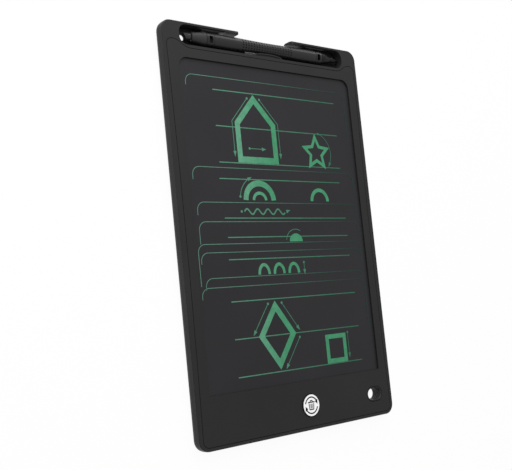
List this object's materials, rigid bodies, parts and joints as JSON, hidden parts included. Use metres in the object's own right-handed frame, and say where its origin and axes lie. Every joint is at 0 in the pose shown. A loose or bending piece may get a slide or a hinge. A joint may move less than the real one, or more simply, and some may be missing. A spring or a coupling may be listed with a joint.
{
  "type": "lcd writing tablet",
  "caption": "Slim black writing tablet with an erasable liquid-crystal screen, a round erase button, a lanyard hole and a stylus clipped into a bay along its top edge.",
  "frame": {"origin": "middle of the back face, where the tablet lies on a table", "axes": "+Z out of the screen, +Y along the length towards the stylus bay, +X to the side of the lanyard hole"},
  "size_m": [0.145, 0.225, 0.0076],
  "materials": {
    "housing": "fine matt texture",
    "button": "satin, printed",
    "tape": "matt",
    "screen": "satin film",
    "backing": "matt",
    "ribbon": "satin film",
    "board": "satin solder mask",
    "chip": "matt",
    "capacitor": "matt",
    "plunger": "satin",
    "knob": "satin",
    "screw": "plated",
    "cell": "nickel plated",
    "spring": "plated",
    "stylus": "satin",
    "plug": "glossy"
  },
  "bodies": {
    "housing": {"back_shell": "housing", "front_bezel": "housing", "screen_tape": "tape", "lcd_sheet": "screen", "backing_board": "backing", "screen_ribbon": "ribbon", "circuit_board": "board", "controller_chip": "chip", "capacitor_upper": "capacitor", "capacitor_lower": "capacitor", "tact_switch": "chip", "lock_switch": "chip", "board_screw_left": "screw", "board_screw_right": "screw", "inner_spring": "spring", "edge_spring": "spring"},
    "button": {"erase_button": "button"},
    "switch_plunger": {"tact_plunger": "plunger"},
    "lock_slider": {"lock_knob": "knob"},
    "battery_cover": {"battery_door": "housing", "door_screw": "screw"},
    "cell": {"coin_cell": "cell"},
    "stylus": {"stylus_barrel": "stylus", "stylus_front_cone": "stylus", "stylus_nib": "stylus", "stylus_rear_cone": "stylus", "stylus_plug": "plug"}
  },
  "joints": [
    {"name": "erase_button_press", "type": "slide", "parent": "housing", "child": "button", "axis": [0, 0, -1], "range_m": [0, 0.0004], "stiffness_N_per_m": 500},
    {"name": "plunger_travel", "type": "slide", "parent": "housing", "child": "switch_plunger", "axis": [0, 0, -1], "range_m": [0, 0.0004]},
    {"name": "lock_slide", "type": "slide", "parent": "housing", "child": "lock_slider", "axis": [1, 0, 0], "range_m": [0, 0.003]},
    {"name": "door_out", "type": "slide", "parent": "housing", "child": "battery_cover", "axis": [0, 0, -1], "range_m": [0, 0.012]},
    {"name": "cell_out", "type": "slide", "parent": "housing", "child": "cell", "axis": [0, 0, -1], "range_m": [0, 0.006]},
    {"name": "stylus_lift", "type": "slide", "parent": "housing", "child": "stylus", "axis": [0, 0, 1], "range_m": [0, 0.015]}
  ],
  "couplings": [
    {"joint": "plunger_travel", "follows": "erase_button_press", "ratio": 1},
    {"joint": "cell_out", "follows": "door_out", "ratio": 0.5}
  ]
}
